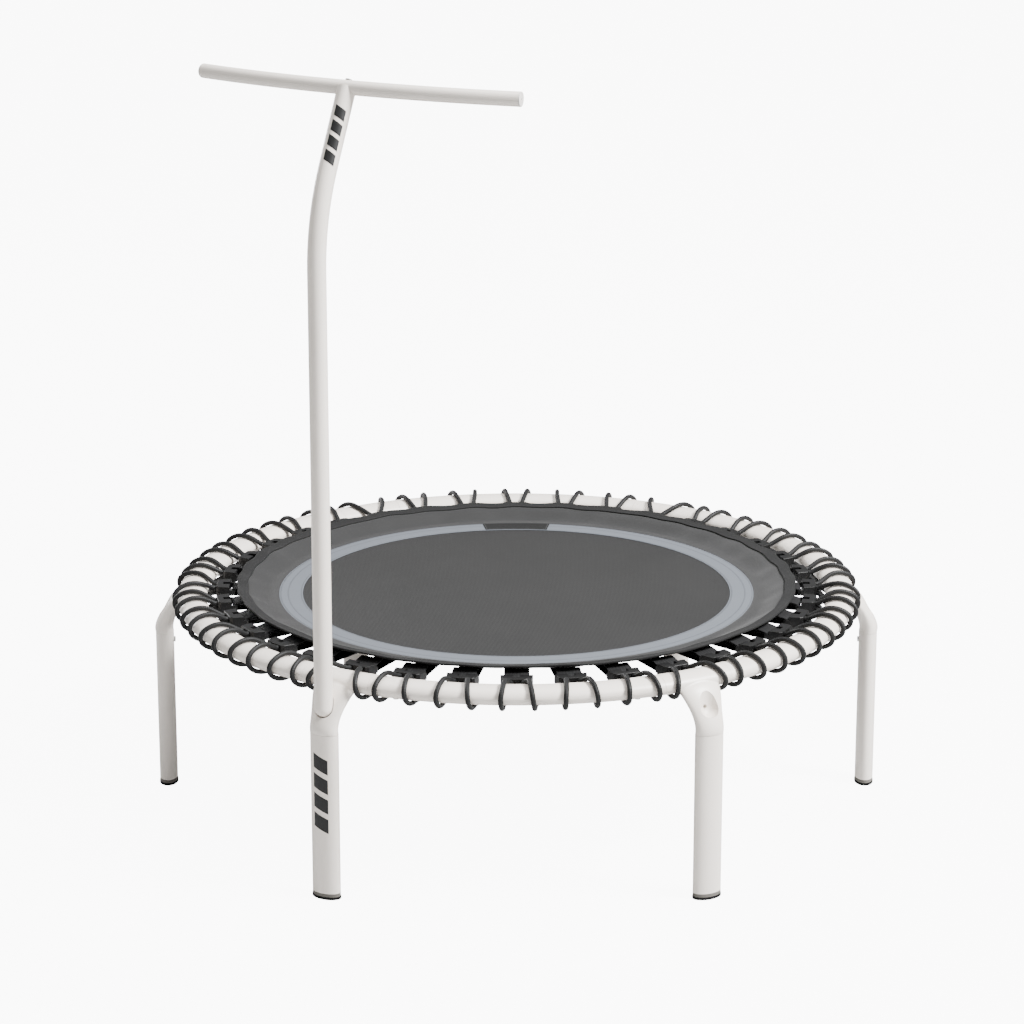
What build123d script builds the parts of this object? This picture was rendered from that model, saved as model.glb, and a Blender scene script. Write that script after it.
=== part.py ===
"""Mini trampoline with a T-bar handle: six oval legs, a bolted oval ring, a bungee-hung mat."""
from build123d import *
import math
import os

os.makedirs("parts", exist_ok=True)

# ---------------------------------------------------------------- driving dimensions (mm)
# Frame: the origin is on the floor under the ring's axis, +Z is up, -Y is the front.
leg_count = 6
ring_radius = 536.0          # ring axis to the centre of the oval ring tube
ring_height = 338.0          # floor to the centre of the ring tube
oval_wide = 48.0             # long way across the oval tube of the ring and the legs
oval_narrow = 30.0           # short way across the same tube
oval_wall = 2.0
leg_offset = 50.0            # how far a leg's centre stands outside the ring tube's centre
fit_gap = 0.2                # between a tube and what slides into it
seam_gap = 0.4               # open joint line between two painted pieces

# Cast leg connector
stub_angle = 6.1             # each arm of the tee along the ring, degrees
spigot_angle = 5.2           # each arm's reach inside the ring tube, degrees
core_wall = 4.0              # wall of the cast arm round its hollow core
connector_foot = 267.0       # floor to the lower end of the connector
leg_spigot = 32.0            # the connector's reach down inside the leg tube
shoulder_start = 281.0       # floor to where the shoulder begins to lean
shoulder_blend = 6.0         # fillet where the shoulder meets the arms
# Sections of the leaning shoulder. Each row holds the outer point and the inner point, both
# as (out from the leg's centre, up from the ring tube's centre), and the half width.
shoulder_sections = (
    ((6.5, -39.5), (-20.2, -42.5), 26.0),
    ((-3.4, -22.5), (-26.5, -30.0), 30.0),
    ((-13.5, -8.0), (-36.5, -19.0), 34.0),
    ((-30.0, 5.5), (-52.0, -11.5), 36.0),
)

# Handle socket in the shoulder, the same on every connector: an upright round pocket
socket_radius = 16.0
socket_offset = 2.0          # how far the socket's axis stands outside the leg's centre
socket_centre_height = 308.0  # floor to the centre of the socket's half-round bottom
bolt_height = 305.0
bolt_diameter = 6.0
bolt_clearance = 0.6
bolt_rise = 2.0              # how far the bolt climbs outwards, degrees
spotface_radius = 6.5
spotface_inset = 22.5        # how far the seat under the bolt's head lies inside the leg's centre

# Feet
pad_height = 4.5
cap_height = 5.5
cap_plug = 24.0
pad_rim = 0.7                # how far the rubber stands out round the leg

# Handle
pole_diameter = 28.5
pole_wall = 2.0
pole_stand_off = 0.5         # how far the upright's centre stands outside the leg's centre
pole_bend_start = 982.0
pole_bend_radius = 340.0
pole_lean = 26.0             # lean of the upper pole towards the ring's axis, degrees
bar_height = 1241.5
bar_diameter = 22.2
bar_wall = 2.0
bar_half_span = 275.0
bar_bow_radius = 1257.0
end_cap_thickness = 2.5
handle_azimuth = 240.0       # the front left leg

# Mat
strap_reach = 68.0           # from the mat's edge to the clip's strap bar
mat_top = 338.0
mat_thickness = 1.6
band_width = 39.5
band_inset = 4.5             # bare mat outside the band
band_thickness = 1.0
skirt_trough_reach = 14.0    # from the mat's edge to the lowest line of the skirt
skirt_trough_drop = 0.2      # how far the skirt's trough lies below its sewn edge
skirt_thickness = 1.6
hem_width = 18.0
hem_inset = 4.0              # how far the hem's edge lies inside the clip's strap bar
hem_inner_top = 352.0
hem_outer_top = 354.0
hem_thickness = 2.2
label_width = 113.0
label_thickness = 0.5

# Bungee clips and cord
clip_count = 36
clip_ear_half = 25.0         # half the clip's width at its ears
clip_nose_half = 22.0        # half its width at the ring side
clip_bar_depth = 5.0
clip_slot = 4.0
clip_nose_depth = 22.0       # solid nose outside the slot
clip_ring_gap = 15.0         # from the clip's outer face to the ring tube
clip_low = 331.0
clip_high = 349.5
clip_bar_low = 334.9
clip_bar_high = 343.1
clip_window = 12.0           # see-through window between the slot and the nose
strap_width = 39.0
strap_thickness = 1.4
cord_diameter = 8.0
cord_hole_gap = 0.3
cord_hole_depth = 6.0
cord_hole_offset = 9.5       # tangential place of each pair of cord holes
cord_top_height = 344.2
cord_low_height = 335.2
cord_mouth = 4.2             # from the clip's outer face to where a strand turns
cord_angle = 2.5             # where a strand turns round the ring, from the clip's line, degrees
cord_angle_at_leg = 4.45     # the same beside a leg, where the strands clear the shoulder
cord_wrap_lean = 12.0        # slant of a strand's turn round the ring, degrees
cord_stand_off = 1.4         # bare space between the cord and the ring tube
cord_turn = 14.8             # tight radius of the cord's centre line round the ring's outside
cord_knuckle = 0.05          # how far the cord swells where it turns in or out of a straight run

# Screws that hold the frame together
screw_diameter = 5.0
screw_head_radius = 4.5
screw_head_height = 2.5
screw_length = 9.0
leg_screw_height = 252.0
ring_screw_angle = 10.0

# ---------------------------------------------------------------- derived values
leg_angles = [360.0 / leg_count * i for i in range(leg_count)]
clip_pitch = 360.0 / clip_count
leg_radius = ring_radius + leg_offset
socket_axis = leg_radius + socket_offset
spotface_seat = leg_radius - spotface_inset
pole_radius = leg_radius + pole_stand_off
half_wide = oval_wide / 2
half_narrow = oval_narrow / 2
cord_radius = cord_diameter / 2
clip_nose = ring_radius - half_wide - clip_ring_gap
clip_body_start = clip_nose - clip_nose_depth
clip_bar_inner = clip_body_start - clip_slot - clip_bar_depth
mat_radius = clip_bar_inner - strap_reach
band_outer = mat_radius - band_inset
band_inner = band_outer - band_width
skirt_trough_radius = mat_radius + skirt_trough_reach
hem_outer = clip_bar_inner - hem_inset
hem_inner = hem_outer - hem_width
leg_foot = pad_height + cap_height
ring_top = ring_height + half_narrow
ring_bottom = ring_height - half_narrow
mat_bottom = mat_top - mat_thickness


def radial_plane(azimuth):
    """Upright plane through the ring's axis: local x points outwards, local y points up."""
    a = math.radians(azimuth)
    return Plane(origin=(0, 0, 0), x_dir=(math.cos(a), math.sin(a), 0),
                 z_dir=(math.sin(a), -math.cos(a), 0))


def radial_hole_plane(radius, height):
    """Plane square to the outward direction at azimuth 0: its normal points outwards."""
    return Plane(origin=(radius, 0, height), x_dir=(0, 1, 0), z_dir=(1, 0, 0))


def bolt_plane(along):
    """Plane square to the handle's bolt, `along` its line outwards from the seat under its head."""
    a = math.radians(bolt_rise)
    return Plane(origin=(spotface_seat + along * math.cos(a), 0, bolt_height + along * math.sin(a)),
                 x_dir=(0, 1, 0), z_dir=(math.cos(a), 0, math.sin(a)))


def finish(part, name):
    """Label one finished piece and write it."""
    part.label = name
    export_step(part, f"parts/{name}.step")


# ---------------------------------------------------------------- leg connector at azimuth 0
def neck_rows():
    """Outer point, inner point and half width of each neck section, from the leg up."""
    outer, inner = leg_radius + half_narrow, leg_radius - half_narrow
    rows = [((outer, connector_foot), (inner, connector_foot), half_wide),
            ((outer - 0.5, shoulder_start), (inner - 0.5, shoulder_start), half_wide)]
    for out_point, in_point, width in shoulder_sections:
        rows.append(((leg_radius + out_point[0], ring_height + out_point[1]),
                     (leg_radius + in_point[0], ring_height + in_point[1]), width))
    return rows


def make_connector():
    """Blank of one cast tee: arms along the ring and a neck that leans in from the leg."""
    with BuildPart() as blank:
        with BuildSketch(radial_plane(-stub_angle)):
            with Locations((ring_radius, ring_height)):
                Ellipse(half_wide, half_narrow)
        revolve(axis=Axis.Z, revolution_arc=2 * stub_angle)
        with BuildPart(mode=Mode.PRIVATE) as neck:
            for outer, inner, width in neck_rows():
                middle = ((outer[0] + inner[0]) / 2, 0, (outer[1] + inner[1]) / 2)
                across = (outer[0] - inner[0], outer[1] - inner[1])
                with BuildSketch(Plane(origin=middle, x_dir=(0, 1, 0), z_dir=(-across[1], 0, across[0]))):
                    Ellipse(width, math.hypot(*across) / 2)
            loft()
        add(neck.part)
        joint_lines = [edge for edge in blank.edges().filter_by(Axis.Z, reverse=True)
                       if edge.length > 30 and abs(edge.center().Y) < half_wide + 20
                       and shoulder_start + 15 < edge.center().Z < ring_top]
        fillet(joint_lines, shoulder_blend)
    return blank.part


def add_connector_details(shape, azimuth_screws):
    """Spigots, hollow core, handle socket and screw holes on a connector blank."""
    spigot_shrink = oval_wall + fit_gap
    reach = stub_angle + spigot_angle
    with BuildPart() as socket_tool:
        with BuildSketch(Plane.XY.offset(socket_centre_height)):
            with Locations((socket_axis, 0)):
                Circle(socket_radius)
        extrude(amount=3 * oval_wide)
        with Locations((socket_axis, 0, socket_centre_height)):
            Sphere(socket_radius)
    with BuildPart() as connector:
        add(shape)
        with BuildSketch(radial_plane(-reach)):
            with Locations((ring_radius, ring_height)):
                Ellipse(half_wide - spigot_shrink, half_narrow - spigot_shrink)
        revolve(axis=Axis.Z, revolution_arc=2 * reach)
        with BuildSketch(radial_plane(-reach)):
            with Locations((ring_radius, ring_height)):
                Ellipse(half_wide - spigot_shrink - core_wall, half_narrow - spigot_shrink - core_wall)
        revolve(axis=Axis.Z, revolution_arc=2 * reach, mode=Mode.SUBTRACT)
        with BuildSketch(Plane.XY.offset(connector_foot - leg_spigot)):
            with Locations((leg_radius, 0)):
                Ellipse(half_narrow - spigot_shrink, half_wide - spigot_shrink)
                Ellipse(half_narrow - spigot_shrink - core_wall, half_wide - spigot_shrink - core_wall,
                        mode=Mode.SUBTRACT)
        extrude(amount=leg_spigot)
        add(socket_tool.part, mode=Mode.SUBTRACT)
        with BuildSketch(bolt_plane(spotface_inset - half_wide - half_narrow)):
            Circle((bolt_diameter + bolt_clearance) / 2)
        extrude(amount=half_wide + half_narrow, mode=Mode.SUBTRACT)
        with BuildSketch(bolt_plane(spotface_inset - half_wide - half_narrow)):
            Circle(spotface_radius)
        extrude(amount=half_wide + half_narrow - spotface_inset, mode=Mode.SUBTRACT)
        with BuildSketch(radial_hole_plane(leg_radius - half_narrow, leg_screw_height)):
            Circle(screw_diameter / 2 + 0.05)
        extrude(amount=screw_length, mode=Mode.SUBTRACT)
        for angle in azimuth_screws:
            with BuildSketch(Plane.XY.offset(ring_bottom)):
                with Locations(ring_point(angle)):
                    Circle(screw_diameter / 2 + 0.05)
            extrude(amount=screw_length, mode=Mode.SUBTRACT)
    return connector.part


def ring_point(angle):
    """Plan position on the ring's centre line."""
    a = math.radians(angle)
    return (ring_radius * math.cos(a), ring_radius * math.sin(a))


connector_shape = make_connector()
connector_master = add_connector_details(connector_shape, (-ring_screw_angle, ring_screw_angle))
for index, angle in enumerate(leg_angles, start=1):
    with BuildPart() as leg_connector:
        add(connector_master.rotate(Axis.Z, angle))
    finish(leg_connector.part, f"leg_connector_{index}")

# ---------------------------------------------------------------- ring tubes
seam_angle = math.degrees(seam_gap / ring_radius)
tube_start = stub_angle + seam_angle
tube_sweep = 360.0 / leg_count - 2 * tube_start
with BuildPart() as ring_master:
    with BuildSketch(radial_plane(tube_start)):
        with Locations((ring_radius, ring_height)):
            Ellipse(half_wide, half_narrow)
            Ellipse(half_wide - oval_wall, half_narrow - oval_wall, mode=Mode.SUBTRACT)
    revolve(axis=Axis.Z, revolution_arc=tube_sweep)
    for angle in (ring_screw_angle, 360.0 / leg_count - ring_screw_angle):
        with BuildSketch(Plane.XY.offset(ring_bottom - 1)):
            with Locations(ring_point(angle)):
                Circle(screw_diameter / 2 + fit_gap)
        extrude(amount=oval_wall + 2, mode=Mode.SUBTRACT)
for index, angle in enumerate(leg_angles, start=1):
    with BuildPart() as ring_tube:
        add(ring_master.part.rotate(Axis.Z, angle))
    finish(ring_tube.part, f"ring_tube_{index}")

# ---------------------------------------------------------------- legs and feet
with BuildPart() as leg_master:
    with BuildSketch(Plane.XY.offset(leg_foot)):
        with Locations((leg_radius, 0)):
            Ellipse(half_narrow, half_wide)
            Ellipse(half_narrow - oval_wall, half_wide - oval_wall, mode=Mode.SUBTRACT)
    extrude(amount=connector_foot - seam_gap - leg_foot)
    with BuildSketch(radial_hole_plane(leg_radius - half_narrow - 1, leg_screw_height)):
        Circle(screw_diameter / 2 + fit_gap)
    extrude(amount=oval_wall + 2, mode=Mode.SUBTRACT)

plug_shrink = oval_wall + fit_gap
with BuildPart() as cap_master:
    with BuildSketch(Plane.XY.offset(pad_height)):
        with Locations((leg_radius, 0)):
            Ellipse(half_narrow, half_wide)
    extrude(amount=cap_height)
    with BuildSketch(Plane.XY.offset(leg_foot)):
        with Locations((leg_radius, 0)):
            Ellipse(half_narrow - plug_shrink, half_wide - plug_shrink)
            Ellipse(half_narrow - plug_shrink - oval_wall, half_wide - plug_shrink - oval_wall,
                    mode=Mode.SUBTRACT)
    extrude(amount=cap_plug)

with BuildPart() as pad_master:
    with BuildSketch():
        with Locations((leg_radius, 0)):
            Ellipse(half_narrow + pad_rim, half_wide + pad_rim)
    extrude(amount=pad_height)
    fillet(pad_master.edges().filter_by(GeomType.ELLIPSE), 0.8)

for index, angle in enumerate(leg_angles, start=1):
    with BuildPart() as leg_tube:
        add(leg_master.part.rotate(Axis.Z, angle))
    finish(leg_tube.part, f"leg_tube_{index}")
    with BuildPart() as foot_cap:
        add(cap_master.part.rotate(Axis.Z, angle))
    finish(foot_cap.part, f"foot_cap_{index}")
    with BuildPart() as foot_pad:
        add(pad_master.part.rotate(Axis.Z, angle))
    finish(foot_pad.part, f"foot_pad_{index}")

# ---------------------------------------------------------------- frame screws
with BuildPart() as leg_screw_master:
    with BuildSketch(radial_hole_plane(leg_radius - half_narrow - screw_head_height, leg_screw_height)):
        Circle(screw_head_radius)
    extrude(amount=screw_head_height)
    with BuildSketch(radial_hole_plane(leg_radius - half_narrow, leg_screw_height)):
        Circle(screw_diameter / 2)
    extrude(amount=screw_length)
with BuildPart() as leg_screws:
    for angle in leg_angles:
        add(leg_screw_master.part.rotate(Axis.Z, angle))
finish(leg_screws.part, "leg_screws")

with BuildPart() as ring_screw_master:
    with BuildSketch(Plane.XY.offset(ring_bottom - screw_head_height)):
        with Locations((ring_radius, 0)):
            Circle(screw_head_radius)
    extrude(amount=screw_head_height)
    with BuildSketch(Plane.XY.offset(ring_bottom)):
        with Locations((ring_radius, 0)):
            Circle(screw_diameter / 2)
    extrude(amount=screw_length)
with BuildPart() as ring_screws:
    for angle in leg_angles:
        for side in (-ring_screw_angle, ring_screw_angle):
            add(ring_screw_master.part.rotate(Axis.Z, angle + side))
finish(ring_screws.part, "ring_screws")

# ---------------------------------------------------------------- handle at azimuth 0
lean = math.radians(pole_lean)
bend_end = (pole_radius - pole_bend_radius * (1 - math.cos(lean)),
            pole_bend_start + pole_bend_radius * math.sin(lean))
upper_run = (bar_height - bend_end[1]) / math.cos(lean)
bar_radius_at_middle = bend_end[0] - upper_run * math.sin(lean)
bar_bow_centre = bar_radius_at_middle - bar_bow_radius
bar_bow_angle = math.degrees(math.asin(bar_half_span / bar_bow_radius))


def bow_plane(angle):
    """Upright plane through the bow's centre line, at an angle from the middle of the bar."""
    a = math.radians(angle)
    return Plane(origin=(bar_bow_centre, 0, bar_height), x_dir=(math.cos(a), math.sin(a), 0),
                 z_dir=(math.sin(a), -math.cos(a), 0))


def bowed_bar(outer, inner):
    """Round bar or tube bent to the bow: a circle turned about the bow's centre."""
    bow_axis = Axis((bar_bow_centre, 0, 0), (0, 0, 1))
    with BuildPart() as bar:
        with BuildSketch(bow_plane(-bar_bow_angle)):
            with Locations((bar_bow_radius, 0)):
                Circle(outer / 2)
                if inner:
                    Circle(inner / 2, mode=Mode.SUBTRACT)
        revolve(axis=bow_axis, revolution_arc=2 * bar_bow_angle)
    return bar.part


top_axis = Plane(origin=(bar_radius_at_middle, 0, bar_height), x_dir=(0, 1, 0),
                 z_dir=(-math.sin(lean), 0, math.cos(lean)))
solid_bar = bowed_bar(bar_diameter, 0)


def upright(outer, inner, bottom, top_gap):
    """Round bar or tube along the pole's line: upright, bend, leaning run to the bar."""
    with BuildPart() as pole:
        with BuildLine(Plane.XZ) as line:
            Line((pole_radius, bottom), (pole_radius, pole_bend_start))
            CenterArc((pole_radius - pole_bend_radius, pole_bend_start), pole_bend_radius,
                      0, pole_lean)
            Line(bend_end, (bar_radius_at_middle + top_gap * math.sin(lean),
                            bar_height - top_gap * math.cos(lean)))
        with BuildSketch(Plane.XY.offset(bottom)):
            with Locations((pole_radius, 0)):
                Circle(outer / 2)
                if inner:
                    Circle(inner / 2, mode=Mode.SUBTRACT)
        sweep()
    return pole.part


def bolt_way(radius):
    """Radial hole for the bolt, from the seat under its head to past the pole's middle."""
    with BuildPart() as way:
        with BuildSketch(bolt_plane(0)):
            Circle(radius)
        extrude(amount=pole_radius + 6 - spotface_seat)
    return way.part


with BuildPart() as handle_pole:
    add(upright(pole_diameter, 0, socket_centre_height, 0))
    with Locations((pole_radius, 0, socket_centre_height)):
        Sphere(pole_diameter / 2)
    add(upright(pole_diameter - 2 * pole_wall, 0, socket_centre_height, 0), mode=Mode.SUBTRACT)
    with Locations((pole_radius, 0, socket_centre_height)):
        Sphere(pole_diameter / 2 - pole_wall, mode=Mode.SUBTRACT)
    with BuildSketch(bolt_plane(0)):
        Circle((bolt_diameter + bolt_clearance) / 2)
    extrude(amount=pole_radius - spotface_seat, mode=Mode.SUBTRACT)
    add(solid_bar, mode=Mode.SUBTRACT)
pole_body = handle_pole.part.solids().sort_by(SortBy.VOLUME)[-1]

plug_length = 34.0
plug_radius = pole_diameter / 2 - pole_wall - fit_gap
with BuildPart() as pole_plug:
    with BuildSketch(Plane.XY.offset(socket_centre_height)):
        with Locations((pole_radius, 0)):
            Circle(plug_radius)
    extrude(amount=plug_length)
    with Locations((pole_radius, 0, socket_centre_height)):
        Sphere(plug_radius)
    add(bolt_way(bolt_diameter / 2 + 0.05), mode=Mode.SUBTRACT)
plug_body = pole_plug.part

top_insert_length = 26.0
with BuildPart() as top_insert:
    with BuildSketch(top_axis.offset(-top_insert_length - bar_diameter / 2)):
        Circle(pole_diameter / 2 - pole_wall - fit_gap)
    extrude(amount=top_insert_length + bar_diameter / 2)
    add(solid_bar, mode=Mode.SUBTRACT)
    with BuildSketch(top_axis.offset(-top_insert_length)):
        Circle(bolt_diameter / 2 + 0.05)
    extrude(amount=top_insert_length, mode=Mode.SUBTRACT)
insert_body = top_insert.part.solids().sort_by(SortBy.VOLUME)[-1]

bolt_head_radius = 5.0
bolt_head_height = 5.5
with BuildPart() as handle_bolt:
    with BuildSketch(bolt_plane(-bolt_head_height)):
        Circle(bolt_head_radius)
        RegularPolygon(2.6, 6, mode=Mode.SUBTRACT)
    extrude(amount=bolt_head_height - 2)
    with BuildSketch(bolt_plane(-2)):
        Circle(bolt_head_radius)
    extrude(amount=2)
    with BuildSketch(bolt_plane(0)):
        Circle(bolt_diameter / 2)
    extrude(amount=pole_radius + 5 - spotface_seat)

bar_bolt_head = 1.4
with BuildPart() as bar_bolt:
    with BuildSketch(top_axis.offset(bar_diameter / 2)):
        Circle(bolt_head_radius)
    extrude(amount=bar_bolt_head)
    with BuildSketch(top_axis.offset(-top_insert_length + 4)):
        Circle(bolt_diameter / 2)
    extrude(amount=top_insert_length - 4 + bar_diameter / 2)

with BuildPart() as handle_bar:
    add(bowed_bar(bar_diameter, bar_diameter - 2 * bar_wall))
    with BuildSketch(top_axis.offset(-bar_diameter)):
        Circle((bolt_diameter + bolt_clearance) / 2)
    extrude(amount=2 * bar_diameter, mode=Mode.SUBTRACT)


def end_cap(angle, outward):
    """Plug in one end of the bar, with a small dimple in the middle of its face."""
    a = math.radians(angle)
    centre = (bar_bow_centre + bar_bow_radius * math.cos(a), bar_bow_radius * math.sin(a), bar_height)
    face = Plane(origin=centre, x_dir=(0, 0, 1),
                 z_dir=(-outward * math.sin(a), outward * math.cos(a), 0))
    with BuildPart() as cap:
        with BuildSketch(face):
            Circle(bar_diameter / 2)
        extrude(amount=end_cap_thickness)
        fillet(cap.faces().sort_by(Axis(centre, face.z_dir))[-1].edges(), 0.8)
        with BuildSketch(face):
            Circle(bar_diameter / 2 - bar_wall - fit_gap)
        extrude(amount=-12)
        with BuildSketch(face.offset(end_cap_thickness)):
            Circle(1.6)
        extrude(amount=-1.2, mode=Mode.SUBTRACT)
    return cap.part


with BuildPart() as bar_end_caps:
    add(end_cap(bar_bow_angle, 1))
    add(end_cap(-bar_bow_angle, -1))

handle_pieces = {
    "handle_pole": pole_body,
    "pole_foot_plug": plug_body,
    "pole_top_insert": insert_body,
    "handle_bolt": handle_bolt.part,
    "bar_bolt": bar_bolt.part,
    "handle_bar": handle_bar.part,
    "bar_end_caps": bar_end_caps.part,
}
for name, body in handle_pieces.items():
    with BuildPart() as placed:
        add(body.rotate(Axis.Z, handle_azimuth))
    finish(placed.part, name)

# ---------------------------------------------------------------- mat, band, skirt, hem, label
with BuildPart() as mat_fabric:
    with BuildSketch(Plane.XY.offset(mat_bottom)):
        Circle(mat_radius)
    extrude(amount=mat_thickness)
finish(mat_fabric.part, "mat_fabric")

with BuildPart() as mat_band:
    with BuildSketch(Plane.XY.offset(mat_top)):
        Circle(band_outer)
        Circle(band_inner, mode=Mode.SUBTRACT)
    extrude(amount=band_thickness)
finish(mat_band.part, "mat_band")

skirt_low = mat_top - skirt_trough_drop
with BuildPart() as skirt:
    with BuildSketch(Plane.XZ):
        with BuildLine():
            top = Spline((mat_radius, mat_top + skirt_thickness),
                         (skirt_trough_radius, skirt_low + skirt_thickness),
                         (hem_inner, hem_inner_top - hem_thickness + skirt_thickness),
                         tangents=((1, 0), (1, 0.35)))
            low = Spline((mat_radius, mat_top), (skirt_trough_radius, skirt_low),
                         (hem_inner, hem_inner_top - hem_thickness),
                         tangents=((1, 0), (1, 0.35)))
            Line(top @ 1, low @ 1)
            Line((band_outer, mat_top), low @ 0)
            Line((band_outer, mat_top), (band_outer, mat_top + skirt_thickness))
            Line((band_outer, mat_top + skirt_thickness), top @ 0)
        make_face()
    revolve(axis=Axis.Z)
finish(skirt.part, "skirt")

with BuildPart() as skirt_hem:
    with BuildSketch(Plane.XZ):
        with BuildLine():
            Polyline((hem_inner, hem_inner_top - hem_thickness), (hem_outer, hem_outer_top - hem_thickness),
                     (hem_outer, hem_outer_top), (hem_inner, hem_inner_top), close=True)
        make_face()
    revolve(axis=Axis.Z)
finish(skirt_hem.part, "skirt_hem")

label_sweep = math.degrees(label_width / ((band_inner + band_outer) / 2))
with BuildPart() as mat_label:
    with BuildSketch(radial_plane(90 - label_sweep / 2)):
        with Locations(((band_inner + band_outer) / 2, mat_top + band_thickness + label_thickness / 2)):
            Rectangle(band_outer - band_inner - 4, label_thickness)
    revolve(axis=Axis.Z, revolution_arc=label_sweep)
finish(mat_label.part, "mat_label")

# ---------------------------------------------------------------- straps and clips
clip_body_start = clip_bar_inner + clip_bar_depth + clip_slot
with BuildPart() as strap_master:
    low_line = clip_bar_low - 0.1 - strap_thickness / 2
    high_line = clip_bar_high + 0.1 + strap_thickness / 2
    nose_line = clip_bar_inner + clip_bar_depth + 0.3 + strap_thickness / 2
    sewn_line = mat_bottom - strap_thickness / 2
    hem_line = hem_inner_top - hem_thickness - strap_thickness / 2 - 0.3
    with BuildSketch(Plane.XZ.offset(-strap_width / 2)):
        with BuildLine():
            Polyline((mat_radius - 16, sewn_line), (mat_radius, sewn_line), (clip_bar_inner, low_line),
                     (nose_line, low_line), (nose_line, high_line), (clip_bar_inner, high_line),
                     (hem_inner + 6, hem_line), (hem_inner + 1, hem_line))
        trace(line_width=strap_thickness)
    extrude(amount=strap_width)
with BuildPart() as clip_straps:
    for index in range(clip_count):
        add(strap_master.part.rotate(Axis.Z, clip_pitch * index))
finish(clip_straps.part, "clip_straps")

hole_radius = cord_radius + cord_hole_gap
with BuildPart() as clip_master:
    with BuildSketch(Plane.XY.offset(clip_low)):
        with BuildLine():
            Polyline((clip_body_start, -clip_ear_half), (clip_nose - 4, -clip_nose_half),
                     (clip_nose, -clip_nose_half + 4), (clip_nose, clip_nose_half - 4),
                     (clip_nose - 4, clip_nose_half), (clip_body_start, clip_ear_half), close=True)
        make_face()
    extrude(amount=clip_high - clip_low)
    fillet(clip_master.faces().sort_by(Axis.Z)[-1].edges(), 1.5)
    ear_inner = strap_width / 2 + 1.0
    with BuildSketch(Plane.XY.offset(clip_bar_low)):
        with BuildLine():
            Polyline((clip_bar_inner, -ear_inner), (clip_bar_inner + clip_bar_depth, -clip_ear_half),
                     (clip_body_start + 1, -clip_ear_half), (clip_body_start + 1, clip_ear_half),
                     (clip_bar_inner + clip_bar_depth, clip_ear_half), (clip_bar_inner, ear_inner),
                     close=True)
        make_face()
        with Locations((clip_bar_inner + clip_bar_depth + clip_slot / 2, 0)):
            Rectangle(clip_slot, 2 * ear_inner, mode=Mode.SUBTRACT)
    extrude(amount=clip_bar_high - clip_bar_low)
    with BuildSketch(Plane.XY.offset(clip_low)):
        with Locations((clip_body_start + clip_window / 2, 0)):
            Rectangle(clip_window, clip_window - 1)
    extrude(amount=clip_high - clip_low, mode=Mode.SUBTRACT)
    for height in (cord_top_height, cord_low_height):
        with BuildSketch(radial_hole_plane(clip_nose + 1, height)):
            with Locations((-cord_hole_offset, 0), (cord_hole_offset, 0)):
                Circle(hole_radius)
        extrude(amount=-cord_hole_depth - 1, mode=Mode.SUBTRACT)
clip_sectors = [range(leg * clip_count // leg_count, (leg + 1) * clip_count // leg_count)
                for leg in range(leg_count)]
for sector, indices in enumerate(clip_sectors, start=1):
    with BuildPart() as bungee_clips:
        for index in indices:
            add(clip_master.part.rotate(Axis.Z, clip_pitch * index))
    finish(bungee_clips.part, f"bungee_clips_{sector}")

# ---------------------------------------------------------------- bungee cord
# Round the oval tube the cord's centre line is a four-centre oval: a flat arc over the top,
# a tight arc round the outside and a flat arc underneath, each tangent to the next. The cord
# runs from a top hole over the ring, round it and under to the next hole along, all the way.
wrap_stretch = 1 / math.cos(math.radians(cord_wrap_lean))
oval_long = half_wide * wrap_stretch + cord_radius + cord_stand_off
oval_short = half_narrow + cord_radius + cord_stand_off
tight_centre = oval_long - cord_turn
flat_centre = (tight_centre ** 2 - (oval_short - cord_turn) ** 2) / (2 * (oval_short - cord_turn))
flat_arc = oval_short + flat_centre
join_angle = math.degrees(math.atan2(flat_centre, tight_centre))


def leave_angle(target, away, height):
    """Angle on a flat arc where a straight run to a point `away` inside and `height` up ends."""
    reach = math.hypot(away, height + flat_centre)
    return math.degrees(math.atan2(height + flat_centre, -away) - math.acos(flat_arc / reach))


def straight_run(start, end):
    """Round bar between two points, with a round end where the cord turns at the second."""
    run = Vector(*end) - Vector(*start)
    with BuildPart() as bar:
        with BuildSketch(Plane(origin=start, z_dir=run)):
            Circle(cord_radius)
        extrude(amount=run.length)
        with Locations(end):
            Sphere(cord_radius + cord_knuckle)
    return bar.part


def clip_point(side, radius, height, pitch=0.0):
    """A point on a cord hole's axis, on the clip `pitch` degrees round from this one."""
    a = math.radians(pitch)
    t = side * cord_hole_offset
    return (radius * math.cos(a) - t * math.sin(a), radius * math.sin(a) + t * math.cos(a), height)


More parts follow.
